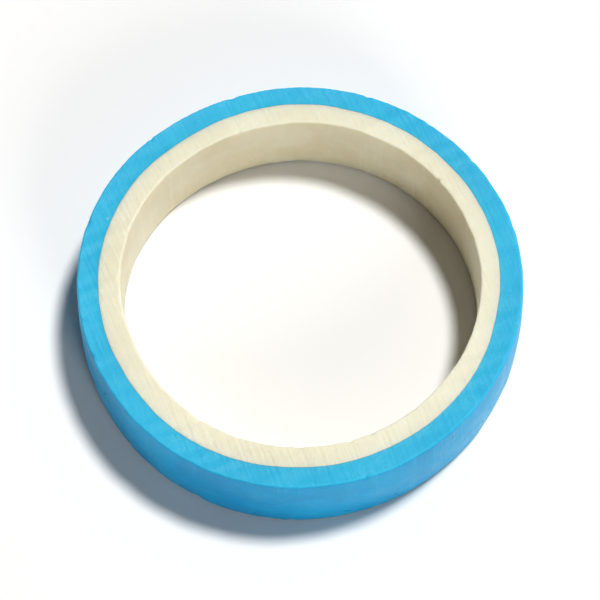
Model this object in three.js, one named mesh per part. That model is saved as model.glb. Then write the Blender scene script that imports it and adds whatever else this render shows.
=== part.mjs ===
// A leg band for a pigeon: a narrow ring sliced off a two-colour rubber tube.
// Millimetres, +Z up. The band lies on one of its cut faces, which is the plane z = 0,
// and its axis is the Z axis.

import * as THREE from "three";

// The band as it lies, unstretched.
const boreDiameter = 8;
const wallThickness = 1;
const bandWidth = 2;

// The inner layer's share of the wall.
const innerLayerShare = 0.5;

// The knife leaves a slightly rounded edge on each rim.
const edgeRadius = 0.08;
const stepsRoundEdge = 3;

// Both layers have their facets at the same angles, so they meet face to face.
const stepsRoundBand = 96;

const boreRadius = boreDiameter / 2;
const bondRadius = boreRadius + wallThickness * innerLayerShare;
const outsideRadius = boreRadius + wallThickness;

const blueRubber = new THREE.MeshStandardMaterial({
  name: "blue_rubber",
  color: 0x1aa5d6,
  roughness: 0.5,
  metalness: 0,
});

const creamRubber = new THREE.MeshStandardMaterial({
  name: "cream_rubber",
  color: 0xe0d8bf,
  roughness: 0.55,
  metalness: 0,
});

// A quarter circle about (centreRadius, centreHeight), swept anticlockwise from startAngle,
// with radius measured along x and height along y.
function roundedEdge(centreRadius, centreHeight, startAngle) {
  const points = [];
  for (let step = 0; step <= stepsRoundEdge; step += 1) {
    const angle = startAngle + (Math.PI / 2) * (step / stepsRoundEdge);
    points.push(
      new THREE.Vector2(
        centreRadius + edgeRadius * Math.cos(angle),
        centreHeight + edgeRadius * Math.sin(angle),
      ),
    );
  }
  return points;
}

// The layer's section, going round it anticlockwise. Its bonded side has square corners,
// and its free side has rounded ones.
function outerSection() {
  const edgeCentre = outsideRadius - edgeRadius;
  return [
    new THREE.Vector2(bondRadius, 0),
    ...roundedEdge(edgeCentre, edgeRadius, -Math.PI / 2),
    ...roundedEdge(edgeCentre, bandWidth - edgeRadius, 0),
    new THREE.Vector2(bondRadius, bandWidth),
  ];
}

function innerSection() {
  const edgeCentre = boreRadius + edgeRadius;
  return [
    new THREE.Vector2(bondRadius, bandWidth),
    ...roundedEdge(edgeCentre, bandWidth - edgeRadius, Math.PI / 2),
    ...roundedEdge(edgeCentre, edgeRadius, Math.PI),
    new THREE.Vector2(bondRadius, 0),
  ];
}

// A layer turned from its section. The lathe turns about Y, so the result is stood up on Z.
function layer(name, section, material) {
  const closedSection = [...section, section[0].clone()];
  const geometry = new THREE.LatheGeometry(closedSection, stepsRoundBand);
  geometry.rotateX(Math.PI / 2);
  const mesh = new THREE.Mesh(geometry, material);
  mesh.name = name;
  return mesh;
}

const group = new THREE.Group();
group.name = "leg_band";
group.add(layer("outer_layer", outerSection(), blueRubber));
group.add(layer("inner_layer", innerSection(), creamRubber));

export default group;
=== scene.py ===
import math

import bpy
import numpy as np
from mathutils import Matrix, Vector


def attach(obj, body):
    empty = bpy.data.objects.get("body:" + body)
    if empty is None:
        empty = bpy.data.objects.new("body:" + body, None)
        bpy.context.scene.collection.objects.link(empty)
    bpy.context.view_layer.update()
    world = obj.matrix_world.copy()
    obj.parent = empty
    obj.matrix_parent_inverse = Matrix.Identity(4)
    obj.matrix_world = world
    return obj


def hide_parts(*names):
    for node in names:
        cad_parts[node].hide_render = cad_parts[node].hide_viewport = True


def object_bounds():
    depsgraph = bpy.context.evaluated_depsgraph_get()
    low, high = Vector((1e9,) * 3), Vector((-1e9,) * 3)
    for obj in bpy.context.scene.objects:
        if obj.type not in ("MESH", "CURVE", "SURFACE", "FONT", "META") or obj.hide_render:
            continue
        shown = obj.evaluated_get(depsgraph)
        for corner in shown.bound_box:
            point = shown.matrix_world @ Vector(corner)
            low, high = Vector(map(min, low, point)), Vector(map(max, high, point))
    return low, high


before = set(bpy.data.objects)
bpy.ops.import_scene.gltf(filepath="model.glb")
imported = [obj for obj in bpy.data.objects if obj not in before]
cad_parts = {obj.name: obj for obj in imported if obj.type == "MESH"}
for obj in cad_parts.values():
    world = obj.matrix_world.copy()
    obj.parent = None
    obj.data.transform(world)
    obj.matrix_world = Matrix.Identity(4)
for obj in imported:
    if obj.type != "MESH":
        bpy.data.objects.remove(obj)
cad_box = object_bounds()

# A leg band: a slice of two-colour rubber tube, blue outside and cream inside, lying on a cut face.
# Shapes are worked out in millimetres and written to the meshes in metres.

MM = 0.001

# ---------------------------------------------------------------- sizes, from the frame


def radius_of(node, pick):
    """The largest or smallest distance of a CAD node's surface from the band's axis, in millimetres."""
    return pick(math.hypot(v.co.x, v.co.y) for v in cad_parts[node].data.vertices) / MM


OUTSIDE = radius_of("outer_layer", max)
BOND = radius_of("inner_layer", max)
BORE = radius_of("inner_layer", min)
WALL = OUTSIDE - BORE
WIDTH = (cad_box[1].z - cad_box[0].z) / MM
BOND_SHARE = (BOND - BORE) / WALL

# ---------------------------------------------------------------- how the real band departs from the ideal

# Lengths are in millimetres. Every wave round the band is written {waves in one turn: height}, and the
# out-of-round waves alone are shares of the radius.

# It is slightly smaller and narrower than the nominal ring, and squeezed out of round.
REST_SIZE = 0.991
REST_WIDTH = 0.984
OUT_OF_ROUND = {2: 0.0075, 3: 0.0045, 4: 0.0026, 5: 0.0016}

# The mandrel wasn't quite central, and the colours don't share the wall evenly.
THIN_SIDE = {1: 0.018, 2: 0.008}
BOND_WANDER = {1: 0.022, 2: 0.014, 3: 0.010, 5: 0.009, 8: 0.006, 13: 0.004}

# The walls curl in a little towards the cut faces, and the cut faces are dished between their edges.
OUTSIDE_CURL = 0.035
BORE_CURL = 0.015
DISH = 0.026
CREAM_STANDS_PROUD = 0.010
PROUD_STEP_WIDTH = 0.05

# The knife wandered, so the band's width changes as it goes round.
TOP_WANDER = {1: 0.013, 2: 0.012, 3: 0.008, 5: 0.005, 8: 0.003, 12: 0.002}
BOTTOM_WANDER = {1: 0.003, 2: 0.009, 3: 0.007, 5: 0.004, 9: 0.002}

# The knife swung on a long arm about this point, and left arcs on the cut faces, with chatter across them.
KNIFE_PIVOT = (-64.0, -27.0)
KNIFE_LINES = 0.0021
KNIFE_LINE_PITCH = 0.20
KNIFE_CHATTER = 0.0030
KNIFE_CHATTER_PITCH = 0.42
KNIFE_PATCH_PITCH = 2.2
KNIFE_PATCHINESS = 0.45

# Chips in the knife's edge scored a few deeper lines.
SCORES = 9
SCORE_DEPTH = (0.003, 0.009)
SCORE_HALF_WIDTH = 0.035

# Where the knife came out of the rubber it pulled up a ragged lip.
LIP_HEIGHT = 0.020
LIP_REACH = 0.030
LIP_SPREAD = math.radians(58)
LIP_RAGGEDNESS_PITCH = 0.16

# The die left faint flutes along the tube.
FLUTES = 0.0030
FLUTE_PITCH = 0.60
SKIN_RIPPLE = 0.0030
SKIN_RIPPLE_PITCH = 1.2

# Nicks in the sharp edges.
NICKS = 30
NICKS_OUTSIDE = 0.6
NICKS_ON_TOP = 0.6
NICK_DEPTH = (0.008, 0.040)
NICK_LENGTH = (0.04, 0.20)
NICK_REACH = 0.06

# Mesh fineness. A layer's free side has its corners rounded and worn by the knife. Its bonded side can't be
# seen, so it has few points.
STEPS_ROUND = 960
CORNER_STEPS = 5
FACE_SPACING = 0.03
FREE_SIDE = {"rounding": 0.045, "spacing": 0.05, "worn": 1}
BONDED_SIDE = {"rounding": 0.007, "spacing": 0.5, "worn": 0}

# A ripple is a sum of waves whose lengths lie between these multiples of its pitch.
RIPPLE_SPREAD = (0.6, 1.7)

SEED = 41
random = np.random.default_rng(SEED)


def harmonics(amplitudes):
    """A smooth closed wave round the band, with seeded phases."""
    phases = {count: random.uniform(0, 2 * math.pi) for count in amplitudes}

    def wave(angle):
        return sum(high * np.cos(count * angle + phases[count]) for count, high in amplitudes.items())

    return wave


def ripple(pitch, dimensions, parts=28):
    """Smooth seeded unevenness of about this pitch and about 1 high, read at points in millimetres."""
    directions = random.normal(size=(parts, dimensions))
    directions /= np.linalg.norm(directions, axis=1, keepdims=True)
    lengths = pitch * random.uniform(*RIPPLE_SPREAD, parts)
    waves = directions * (2 * math.pi / lengths)[:, None]
    phases = random.uniform(0, 2 * math.pi, parts)

    def height(*coordinates):
        total = 0
        for wave, phase in zip(waves, phases):
            total = total + np.cos(sum(k * c for k, c in zip(wave, coordinates)) + phase)
        return total / math.sqrt(parts / 2)

    return height


def both(make):
    """A seeded shape for the top or outside, under True, and another for the bottom or bore, under False."""
    return {True: make(), False: make()}


out_of_round = harmonics(OUT_OF_ROUND)
thin_side = harmonics(THIN_SIDE)
bond_wander = harmonics(BOND_WANDER)
wander = {True: harmonics(TOP_WANDER), False: harmonics(BOTTOM_WANDER)}
knife_lines = both(lambda: ripple(KNIFE_LINE_PITCH, 1))
knife_patches = both(lambda: ripple(KNIFE_PATCH_PITCH, 2))
knife_chatter = both(lambda: ripple(KNIFE_CHATTER_PITCH, 1, parts=8))
lip_raggedness = both(lambda: ripple(LIP_RAGGEDNESS_PITCH, 2))
flutes = both(lambda: ripple(FLUTE_PITCH, 2))
skin_ripple = both(lambda: ripple(SKIN_RIPPLE_PITCH, 3))

# Each score is (distance from the knife's pivot, depth).
scores = both(lambda: [
    (math.hypot(*KNIFE_PIVOT) + random.uniform(-OUTSIDE, OUTSIDE), random.uniform(*SCORE_DEPTH))
    for _ in range(SCORES)
])

# Each nick is (angle, on an outside edge, on a top edge, depth, half length).
nicks = [
    (
        random.uniform(0, 2 * math.pi),
        random.random() < NICKS_OUTSIDE,
        random.random() < NICKS_ON_TOP,
        random.uniform(*NICK_DEPTH),
        random.uniform(*NICK_LENGTH) / 2,
    )
    for _ in range(NICKS)
]


def turned_from(angle, direction):
    """How far an angle is from a direction, from -pi to pi."""
    return (angle - direction + math.pi) % (2 * math.pi) - math.pi


def near_edge(through, up, outside, top, reach):
    """1 on one of the four cut edges, falling away within this reach of it."""
    across = (1 - through if outside else through) * WALL
    along = (1 - up if top else up) * WIDTH
    return np.exp(-(across**2 + along**2) / reach**2)


def cut_face(x, y, angle, through, top):
    """How far the knife's surface lies above the ideal flat cut, in millimetres."""
    from_pivot_x = x - KNIFE_PIVOT[0]
    from_pivot_y = y - KNIFE_PIVOT[1]
    reach = np.hypot(from_pivot_x, from_pivot_y)
    sweep = np.arctan2(from_pivot_y, from_pivot_x) * math.hypot(*KNIFE_PIVOT)
    strength = 1 - KNIFE_PATCHINESS + KNIFE_PATCHINESS * np.clip(knife_patches[top](x, y), -1, 1)
    marks = KNIFE_LINES * strength * knife_lines[top](reach)
    marks = marks + KNIFE_CHATTER * knife_chatter[top](sweep)
    scored = 0
    for where, depth in scores[top]:
        scored = scored + depth * np.exp(-(((reach - where) / SCORE_HALF_WIDTH) ** 2))
    dish = DISH * (1 - (2 * through - 1) ** 2)
    proud = CREAM_STANDS_PROUD * (1 - np.tanh((through - BOND_SHARE) / PROUD_STEP_WIDTH)) / 2
    inwards = dish - proud + scored
    return wander[top](angle) + marks + (-inwards if top else inwards)


def lip(x, y, angle, through, up, outside):
    """The height of the ragged lip on a top edge. The knife moved at right angles to the line from its
    pivot, so it came out of the rubber on one side of the outside edge, and opposite that on the bore's."""
    way_out = math.atan2(-KNIFE_PIVOT[0], KNIFE_PIVOT[1]) + (0 if outside else math.pi)
    along = np.exp(-((turned_from(angle, way_out) / LIP_SPREAD) ** 2))
    ragged = np.clip(0.5 + 0.5 * lip_raggedness[outside](x, y), 0, 1)
    return LIP_HEIGHT * along * ragged * near_edge(through, up, outside, True, LIP_REACH)


def warp(angle, radius, height):
    """Where a point of the ideal ring lies on this band. It carries both layers, so they stay together."""
    x = radius * np.cos(angle)
    y = radius * np.sin(angle)
    through = (radius - BORE) / WALL
    up = height / WIDTH
    curl = (2 * up - 1) ** 2

    outside = OUTSIDE - OUTSIDE_CURL * curl
    outside = outside + FLUTES * flutes[True](x, y) + SKIN_RIPPLE * skin_ripple[True](x, y, height)
    bore = BORE + BORE_CURL * curl + thin_side(angle)
    bore = bore + FLUTES * flutes[False](x, y) + SKIN_RIPPLE * skin_ripple[False](x, y, height)
    near_bond = np.clip(1 - np.abs(through - BOND_SHARE) / min(BOND_SHARE, 1 - BOND_SHARE), 0, 1)
    new_radius = bore + through * (outside - bore) + near_bond * bond_wander(angle)

    bottom = cut_face(x, y, angle, through, False)
    top = WIDTH + cut_face(x, y, angle, through, True)
    new_height = bottom + up * (top - bottom)
    new_height = new_height + lip(x, y, angle, through, up, True) + lip(x, y, angle, through, up, False)

    for where, outside_edge, top_edge, depth, half_length in nicks:
        along = np.exp(-((turned_from(angle, where) * radius / half_length) ** 2))
        bite = depth * along * near_edge(through, up, outside_edge, top_edge, NICK_REACH)
        new_radius = new_radius - (bite if outside_edge else -bite)
        new_height = new_height - (bite if top_edge else -bite)

    new_radius = new_radius * REST_SIZE * (1 + out_of_round(angle))
    return new_radius * np.cos(angle), new_radius * np.sin(angle), new_height * REST_WIDTH


# ---------------------------------------------------------------- the two rubber layers


def rounded_corner(centre, rounding, start, worn):
    """A corner's points, turning anticlockwise through a right angle from start."""
    for step in range(CORNER_STEPS + 1):
        share = step / CORNER_STEPS
        turned = start + math.radians(90) * share
        yield (
            centre[0] + rounding * math.cos(turned),
            centre[1] + rounding * math.sin(turned),
            math.sin(turned) ** 2,
            worn * math.sin(math.pi * share),
        )


def straight_side(start, end, spacing, facing):
    """The points between the ends of a side, without the ends."""
    parts = round(math.dist(start, end) / spacing)
    for step in range(1, parts):
        share = step / parts
        yield (start[0] + share * (end[0] - start[0]), start[1] + share * (end[1] - start[1]), facing, 0)


def section(low, high, inside, outside):
    """The outline of a layer's section, anticlockwise from its bottom outside corner. Returns each point's
    radius and height, how squarely it faces up or down, and how far it is onto a worn edge."""
    corners = [(high, 0, outside), (high, WIDTH, outside), (low, WIDTH, inside), (low, 0, inside)]
    rounded = []
    for index, (radius, height, side) in enumerate(corners):
        rounding = side["rounding"]
        centre_radius = radius - rounding if radius == high else radius + rounding
        centre_height = height + rounding if height == 0 else height - rounding
        start = math.radians(90) * (index - 1)
        rounded.append(list(rounded_corner((centre_radius, centre_height), rounding, start, side["worn"])))

    # After each corner comes a side: the outside, the top, the inside and the bottom.
    sides = [(outside["spacing"], 0), (FACE_SPACING, 1), (inside["spacing"], 0), (FACE_SPACING, 1)]
    rows = []
    for index, (spacing, facing) in enumerate(sides):
        following = rounded[(index + 1) % len(rounded)]
        rows += rounded[index]
        rows += straight_side(rounded[index][-1][:2], following[0][:2], spacing, facing)
    return np.array(rows).T


def surface(low, high, inside, outside):
    """A layer's surface: grids of x, y and z in millimetres, a row for each step round the band, and each
    column's value of the attributes that its material reads."""
    radius, height, facing, onto_edge = section(low, high, inside, outside)
    angle = np.linspace(0, 2 * math.pi, STEPS_ROUND, endpoint=False)[:, None]
    grids = np.stack(warp(angle, radius[None, :], height[None, :]), axis=2)
    return grids, {"cut": facing, "edge": onto_edge}


def layer(name, grids, attributes, lowest, material, slot):
    """One rubber layer of the band as a closed mesh standing on the floor, in place of the CAD node."""
    grids = grids - np.array([0, 0, lowest])
    steps, count, _ = grids.shape
    ring = np.arange(steps)[:, None]
    place = np.arange(count)[None, :]
    next_ring = (ring + 1) % steps
    next_place = (place + 1) % count
    corners = [
        ring * count + place,
        next_ring * count + place,
        next_ring * count + next_place,
        ring * count + next_place,
    ]
    faces = np.stack(corners, axis=2).reshape(-1, 4)

    mesh = bpy.data.meshes.new(name)
    mesh.from_pydata((grids.reshape(-1, 3) * MM).tolist(), [], faces.tolist())
    mesh.polygons.foreach_set("use_smooth", [True] * len(mesh.polygons))
    for attribute, values in attributes.items():
        data = mesh.attributes.new(attribute, "FLOAT", "POINT").data
        data.foreach_set("value", np.tile(values, steps).astype(np.float32))
    mesh.materials.append(material)
    piece = bpy.data.objects.new(name + "_rubber", mesh)
    bpy.context.scene.collection.objects.link(piece)
    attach(piece, "root")
    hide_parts(name)


# ---------------------------------------------------------------- materials

# Sizes of the patterns in the rubber, and how far their relief stands, in millimetres. A pattern that is
# drawn out has its scale along the line as a share of its scale across it.
CLOUD_SIZE = 2.2
PATCH_SIZE = 0.38
BLOOM_SIZE = 1.1
BLOOM_GRAIN_SIZE = 0.06
GRAIN_SIZE = 0.11
GRAIN_RELIEF = 0.010
PINHOLE_SPACING = 0.2
PINHOLE_RELIEF = 0.004
STREAK_SIZE = 0.18
STREAKS_DRAWN_OUT = 0.04
STREAK_RELIEF = 0.014
SCUFF_SIZE = 0.05
SCUFFS_DRAWN_OUT = 0.03
SCUFF_PATCH_SIZE = 0.8
SCUFF_SLANT = (0.5, 0.9, 0.3)
SCUFF_RELIEF = 0.002
MARK_SIZE = 0.085
MARK_RELIEF = 0.016
CRUMB_SPACING = 0.36
CRUMB_PATCH_SIZE = 1.4
CRUMB_WOBBLE = 0.07
CRUMB_WOBBLE_SIZE = 0.05
CRUMB_RELIEF = 0.009

# The share of the crumbs' places that stay empty, and the largest crumb's radius as a share of their spacing.
PLACES_WITHOUT_CRUMBS = 0.45
LARGEST_CRUMB = 0.13

# Bare cut rubber and bloom are rougher than the skin.
PATCHES_SMOOTHER = 0.05
PATCHES_ROUGHER = 0.07
CUT_ROUGHER = 0.10
BLOOM_ROUGHER = 0.22


class Nodes:
    """Makes and links the nodes of a material. Places and sizes are in millimetres."""

    def __init__(self, tree):
        self.tree = tree

    def add(self, kind, inputs, output=0, **settings):
        """A node with its settings made, and its inputs set to values or linked from sockets."""
        node = self.tree.nodes.new(kind)
        for setting, value in settings.items():
            setattr(node, setting, value)
        for key, value in inputs.items():
            if isinstance(value, bpy.types.NodeSocket):
                self.tree.links.new(value, node.inputs[key])
            else:
                node.inputs[key].default_value = value
        return node.outputs[output]

    def place(self):
        metres = self.add("ShaderNodeTexCoord", {}, output="Object")
        return self.add("ShaderNodeVectorMath", {0: metres, "Scale": 1 / MM}, operation="SCALE")

    def attribute(self, name):
        return self.add("ShaderNodeAttribute", {}, output="Fac", attribute_name=name)

    def math(self, operation, first, second):
        return self.add("ShaderNodeMath", {0: first, 1: second}, operation=operation)

    def times(self, first, second):
        return self.math("MULTIPLY", first, second)

    def plus(self, first, second):
        return self.math("ADD", first, second)

    def vector(self, operation, first, second, output=0):
        return self.add("ShaderNodeVectorMath", {0: first, 1: second}, output=output, operation=operation)

    def between(self, value, low, high, new_low=0.0, new_high=1.0):
        """value's stretch from low to high, brought smoothly to new_low to new_high and held there."""
        inputs = {"Value": value, "From Min": low, "From Max": high, "To Min": new_low, "To Max": new_high}
        return self.add("ShaderNodeMapRange", inputs, interpolation_type="SMOOTHSTEP")

    def noise(self, place, size, detail=3.0, roughness=0.55, output=0):
        inputs = {"Vector": place, "Scale": 1 / size, "Detail": detail, "Roughness": roughness}
        return self.add("ShaderNodeTexNoise", inputs, output=output)

    def cells(self, place, size, output):
        return self.add("ShaderNodeTexVoronoi", {"Vector": place, "Scale": 1 / size}, output=output)

    def blended(self, share, first, second):
        """The colour first, with this share of the colour second over it."""
        inputs = {0: share}
        for key, colour in ((6, first), (7, second)):
            inputs[key] = colour if isinstance(colour, bpy.types.NodeSocket) else (*colour, 1)
        return self.add("ShaderNodeMix", inputs, output=2, data_type="RGBA")

    def raised(self, height, distance, normal=None):
        """A bump that stands this many millimetres where height is 1, on top of any before it."""
        inputs = {"Height": height, "Distance": distance * MM, "Strength": 1.0}
        if normal is not None:
            inputs["Normal"] = normal
        return self.add("ShaderNodeBump", inputs)


def knife_marks(nodes, place):
    """Fine arcs about the knife's pivot, from 0 to 1."""
    flat = nodes.vector("MULTIPLY", place, (1, 1, 0))
    reach = nodes.vector("DISTANCE", flat, (*KNIFE_PIVOT, 0), output="Value")
    height = nodes.add("ShaderNodeSeparateXYZ", {0: place}, output="Z")
    lines = nodes.add("ShaderNodeCombineXYZ", {"X": reach, "Z": height})
    slow_change_along = nodes.vector("MULTIPLY", place, (0.02, 0.02, 0))
    lines = nodes.vector("ADD", lines, slow_change_along)
    return nodes.noise(lines, MARK_SIZE, detail=5.0, roughness=0.75)


def die_streaks(nodes, place):
    """Fine streaks along the tube, from 0 to 1."""
    drawn_out = nodes.vector("MULTIPLY", place, (1, 1, STREAKS_DRAWN_OUT))
    return nodes.noise(drawn_out, STREAK_SIZE, detail=4.0, roughness=0.65)


def crumbs(nodes, place):
    """Scattered crumbs of rubber of many sizes and no regular shape, from 0 to 1."""
    wobble = nodes.noise(place, CRUMB_WOBBLE_SIZE, output="Color")
    wobble = nodes.vector("SUBTRACT", wobble, (0.5, 0.5, 0.5))
    wobble = nodes.vector("MULTIPLY", wobble, (CRUMB_WOBBLE, CRUMB_WOBBLE, CRUMB_WOBBLE))
    wobbled = nodes.vector("ADD", place, wobble)
    random_colour = nodes.cells(wobbled, CRUMB_SPACING, "Color")
    chance = nodes.add("ShaderNodeSeparateXYZ", {0: random_colour}, output="X")
    size = nodes.between(chance, PLACES_WITHOUT_CRUMBS, 1.0, 0.0, LARGEST_CRUMB)
    distance = nodes.cells(wobbled, CRUMB_SPACING, "Distance")
    spot = nodes.between(distance, nodes.times(size, 0.5), size, 1.0, 0.0)
    where_they_gather = nodes.between(nodes.noise(place, CRUMB_PATCH_SIZE), 0.46, 0.54)
    return nodes.times(spot, where_they_gather)


def scuffs(nodes, place):
    """Short fine slanting scratches, from 0 to 1."""
    slant = {"Vector": place, "Rotation": SCUFF_SLANT}
    slanted = nodes.add("ShaderNodeVectorRotate", slant, rotation_type="EULER_XYZ")
    drawn_out = nodes.vector("MULTIPLY", slanted, (1, SCUFFS_DRAWN_OUT, SCUFFS_DRAWN_OUT))
    lines = nodes.between(nodes.noise(drawn_out, SCUFF_SIZE, detail=2.0), 0.62, 0.72)
    where_they_gather = nodes.between(nodes.noise(place, SCUFF_PATCH_SIZE), 0.50, 0.62)
    return nodes.times(lines, where_they_gather)


def rubber(name, look):
    """Rubber with skin on its walls and bare knife-cut faces, dusted with bloom."""
    material = bpy.data.materials.new(name)
    material.use_nodes = True
    shader = material.node_tree.nodes["Principled BSDF"]
    nodes = Nodes(material.node_tree)

    place = nodes.place()
    cut = nodes.attribute("cut")
    edge = nodes.attribute("edge")
    skin = nodes.math("SUBTRACT", 1.0, cut)
    clouds = nodes.noise(place, CLOUD_SIZE, detail=4.0)
    patches = nodes.noise(place, PATCH_SIZE, detail=5.0, roughness=0.6)
    streaks = die_streaks(nodes, place)
    marks = knife_marks(nodes, place)
    scratched = nodes.times(scuffs(nodes, place), skin)
    crumbed = crumbs(nodes, place)
    bloom_patches = nodes.between(nodes.noise(place, BLOOM_SIZE), 0.46, 0.72)
    bloom_grain = nodes.between(nodes.noise(place, BLOOM_GRAIN_SIZE), 0.42, 0.70)
    bloom = nodes.times(bloom_patches, bloom_grain)

    # Colour: cloudy pigment, skin streaks and scuffs, a paler cut with painted highlight, worn edges, bloom
    # and crumbs.
    streak_share = nodes.times(nodes.between(streaks, 0.52, 0.78), skin)
    cut_and_highlight_share = nodes.times(nodes.between(marks, 0.25, 0.75, 0.75, 1.0), cut)
    colour = nodes.blended(nodes.between(clouds, 0.35, 0.65), look["deep"], look["light"])
    colour = nodes.blended(nodes.between(patches, 0.45, 0.75, 0.0, 0.4), colour, look["light"])
    colour = nodes.blended(nodes.times(streak_share, look["streak"]), colour, look["pale"])
    colour = nodes.blended(nodes.times(scratched, look["scuff"]), colour, look["pale"])
    # The cut faces take a paler colour: partly bare cut rubber, partly painted highlight for the light they
    # catch.
    colour = nodes.blended(nodes.times(cut_and_highlight_share, look["cut_and_highlight_share"]), colour, look["cut"])
    colour = nodes.blended(nodes.times(edge, look["edge_wear"]), colour, look["pale"])
    colour = nodes.blended(nodes.times(bloom, look["bloom"]), colour, look["dust"])
    colour = nodes.blended(nodes.times(crumbed, 0.65), colour, look["dust"])
    shader_inputs = {"Base Color": colour}

    # Roughness: satin skin and a drier cut, and bloom dries both.
    smoothest, roughest = look["rough"] - PATCHES_SMOOTHER, look["rough"] + PATCHES_ROUGHER
    rough = nodes.between(patches, 0.3, 0.7, smoothest, roughest)
    rough = nodes.plus(rough, nodes.times(cut, CUT_ROUGHER))
    shader_inputs["Roughness"] = nodes.plus(rough, nodes.times(bloom, BLOOM_ROUGHER))

    # Relief: grain, pinholes and crumbs all over, streaks and scuffs on the skin, knife marks on the cut.
    grain = nodes.noise(place, GRAIN_SIZE, detail=6.0, roughness=0.6)
    pinholes = nodes.between(nodes.cells(place, PINHOLE_SPACING, "Distance"), 0.05, 0.16)
    normal = nodes.raised(grain, GRAIN_RELIEF)
    normal = nodes.raised(pinholes, PINHOLE_RELIEF, normal)
    normal = nodes.raised(nodes.times(streaks, skin), STREAK_RELIEF, normal)
    normal = nodes.raised(nodes.times(scratched, -1.0), SCUFF_RELIEF, normal)
    normal = nodes.raised(nodes.times(marks, cut), MARK_RELIEF, normal)
    shader_inputs["Normal"] = nodes.raised(crumbed, CRUMB_RELIEF, normal)

    for key, socket in shader_inputs.items():
        material.node_tree.links.new(socket, shader.inputs[key])
    for key, value in look["shader"].items():
        shader.inputs[key].default_value = value
    return material


# Each look has its colours, the shares in which they cover each other, the skin's roughness, and the values
# that are the same all over the surface.
BLUE_LOOK = {
    "deep": (0.003, 0.310, 0.600),
    "light": (0.004, 0.400, 0.710),
    "pale": (0.050, 0.550, 0.800),
    # The cut colour is partly bare cut rubber and partly painted highlight.
    "cut": (0.060, 0.500, 0.700),
    "dust": (0.460, 0.700, 0.800),
    "cut_and_highlight_share": 0.75,
    "streak": 0.30,
    "scuff": 0.45,
    "edge_wear": 0.30,
    "bloom": 0.14,
    "rough": 0.32,
    "shader": {
        "IOR": 1.5,
        "Specular IOR Level": 0.20,
        "Subsurface Weight": 0.12,
        "Subsurface Radius": (0.10, 0.25, 0.45),
        "Subsurface Scale": MM,
    },
}

CREAM_LOOK = {
    # The skin colours are the cream's own tone, warmed and darkened as painted shade and bounce light of the
    # bore.
    "deep": (0.690, 0.625, 0.435),
    "light": (0.770, 0.720, 0.545),
    "pale": (0.820, 0.795, 0.660),
    # The cut colour is partly bare cut rubber and partly painted highlight.
    "cut": (0.770, 0.768, 0.625),
    "dust": (0.860, 0.860, 0.790),
    "cut_and_highlight_share": 0.65,
    "streak": 0.40,
    "scuff": 0.35,
    "edge_wear": 0.30,
    "bloom": 0.40,
    "rough": 0.42,
    "shader": {
        "IOR": 1.5,
        "Specular IOR Level": 0.40,
        "Subsurface Weight": 0.35,
        "Subsurface Radius": (0.60, 0.42, 0.22),
        "Subsurface Scale": MM,
    },
}

outer_surface = surface(BOND, OUTSIDE, inside=BONDED_SIDE, outside=FREE_SIDE)
inner_surface = surface(BORE, BOND, inside=FREE_SIDE, outside=BONDED_SIDE)
lowest = min(grids[:, :, 2].min() for grids, _ in (outer_surface, inner_surface))
layer("outer_layer", *outer_surface, lowest, rubber("blue_rubber_look", BLUE_LOOK), "blue_rubber")
layer("inner_layer", *inner_surface, lowest, rubber("cream_rubber_look", CREAM_LOOK), "cream_rubber")

# ---------------------------------------------------------------- floor, light and camera

# Lengths from here on are in metres, apart from the camera's lens and sensor, which are in millimetres.

FLOOR_FLAT = 0.25
FLOOR_EDGE = 0.50
FLOOR_RISE = 0.13
FLOOR_STEPS_ROUND = 96
FLOOR_STEPS_OUT = 40
PAPER_WHITE = 0.88
PAPER_ROUGH = 0.8
PAPER_SHINE = 0.2


def make_floor():
    """A pale floor that is flat about the band and sweeps up at its rim, so that no view sees its end."""
    points = []
    for ring in range(FLOOR_STEPS_OUT + 1):
        out = FLOOR_EDGE * ring / FLOOR_STEPS_OUT
        share = max(0, (out - FLOOR_FLAT) / (FLOOR_EDGE - FLOOR_FLAT))
        for step in range(FLOOR_STEPS_ROUND if ring else 1):
            turn = 2 * math.pi * step / FLOOR_STEPS_ROUND
            points.append((out * math.cos(turn), out * math.sin(turn), FLOOR_RISE * share**2))
    faces = []
    for step in range(FLOOR_STEPS_ROUND):
        following = (step + 1) % FLOOR_STEPS_ROUND
        faces.append((0, 1 + step, 1 + following))
        for ring in range(FLOOR_STEPS_OUT - 1):
            first = 1 + ring * FLOOR_STEPS_ROUND
            second = first + FLOOR_STEPS_ROUND
            faces.append((first + step, second + step, second + following, first + following))
    mesh = bpy.data.meshes.new("floor")
    mesh.from_pydata(points, [], faces)
    mesh.polygons.foreach_set("use_smooth", [True] * len(mesh.polygons))
    material = bpy.data.materials.new("floor_paper")
    material.use_nodes = True
    shader = material.node_tree.nodes["Principled BSDF"]
    shader.inputs["Base Color"].default_value = (PAPER_WHITE, PAPER_WHITE, PAPER_WHITE, 1)
    shader.inputs["Roughness"].default_value = PAPER_ROUGH
    shader.inputs["Specular IOR Level"].default_value = PAPER_SHINE
    mesh.materials.append(material)
    floor = bpy.data.objects.new("floor", mesh)
    bpy.context.scene.collection.objects.link(floor)


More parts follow.
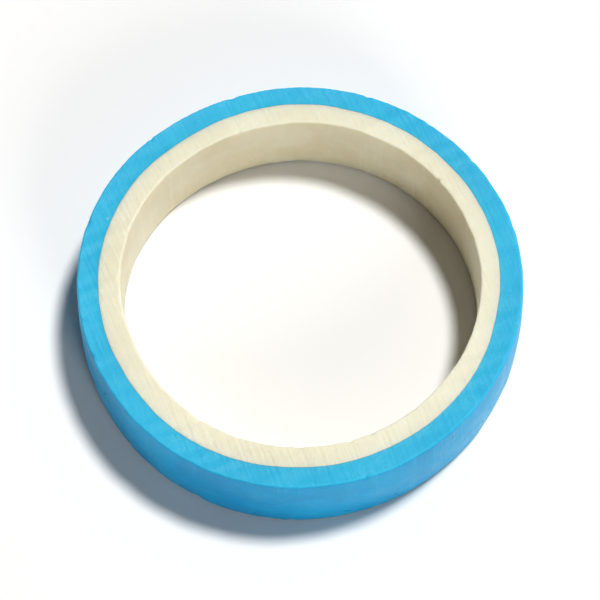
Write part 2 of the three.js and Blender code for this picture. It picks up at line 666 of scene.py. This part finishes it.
def aimed(obj, azimuth, elevation, distance, target):
    """Puts obj on that side of the target, facing it. Azimuth 0 is the -Y side and 90 the +X side."""
    turn, lift = math.radians(azimuth), math.radians(elevation)
    back = Vector((math.sin(turn) * math.cos(lift), -math.cos(turn) * math.cos(lift), math.sin(lift)))
    obj.location = target + back * distance
    obj.rotation_mode = "QUATERNION"
    obj.rotation_quaternion = (-back).to_track_quat("-Z", "Y")
    bpy.context.scene.collection.objects.link(obj)


def softbox(name, azimuth, elevation, distance, across, power, colour):
    lamp = bpy.data.lights.new(name, "AREA")
    lamp.shape = "DISK"
    lamp.size = across
    lamp.energy = power
    lamp.color = colour
    obj = bpy.data.objects.new(name, lamp)
    obj.visible_camera = False
    aimed(obj, azimuth, elevation, distance, Vector((0, 0, 0)))


def make_world(strength):
    world = bpy.data.worlds.new("studio")
    world.use_nodes = True
    background = world.node_tree.nodes["Background"]
    background.inputs["Color"].default_value = (1, 1, 1, 1)
    background.inputs["Strength"].default_value = strength
    bpy.context.scene.world = world


CAMERA_ELEVATION = 66
CAMERA_LENS = 200
SENSOR = 36
NEAREST = 0.005
FARTHEST = 2
FRAME_FILL = 0.74


def make_camera():
    """Looks down on the band from the front, from where it fills most of the frame."""
    low, high = cad_box
    data = bpy.data.cameras.new("camera")
    data.lens = CAMERA_LENS
    data.sensor_width = SENSOR
    data.clip_start = NEAREST
    data.clip_end = FARTHEST
    camera = bpy.data.objects.new("camera", data)
    distance = (high.x - low.x) / FRAME_FILL / (SENSOR / CAMERA_LENS)
    aimed(camera, 0, CAMERA_ELEVATION, distance, (low + high) / 2)
    bpy.context.scene.camera = camera


make_floor()
softbox("key", azimuth=130, elevation=69, distance=1.0, across=0.18, power=8.1, colour=(1.0, 0.99, 0.975))
softbox("fill", azimuth=24, elevation=25, distance=1.1, across=0.36, power=3.0, colour=(1.0, 1.0, 1.0))
make_world(strength=0.06)
make_camera()
bpy.context.scene.view_settings.view_transform = "Standard"
bpy.context.scene.view_settings.look = "Medium High Contrast"
